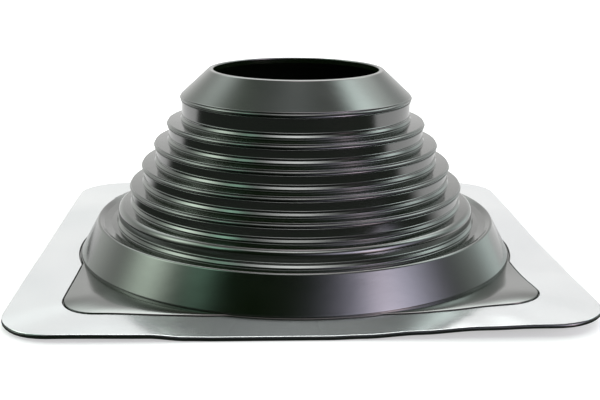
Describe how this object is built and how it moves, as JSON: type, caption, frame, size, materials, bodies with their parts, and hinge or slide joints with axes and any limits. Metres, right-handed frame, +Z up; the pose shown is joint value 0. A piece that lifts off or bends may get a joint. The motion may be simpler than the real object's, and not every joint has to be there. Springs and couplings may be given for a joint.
{
  "type": "pipe flashing boot",
  "caption": "Stepped rubber cone with an open mouth on a square base, with a flat aluminium frame bonded round it, to seal a pipe that passes through a roof.",
  "frame": {"origin": "centre of the underside of the base, on the axis of the cone", "axes": "+Z up along the axis of the cone, out of the mouth; +X and +Y square to the sides of the base"},
  "size_m": [0.363, 0.363, 0.1334],
  "materials": {
    "rubber": "moulded black EPDM rubber, semi-gloss",
    "aluminium": "bare soft sheet, satin"
  },
  "bodies": {
    "root": {"rubber_boot": "rubber", "aluminium_flange": "aluminium"}
  },
  "joints": []
}
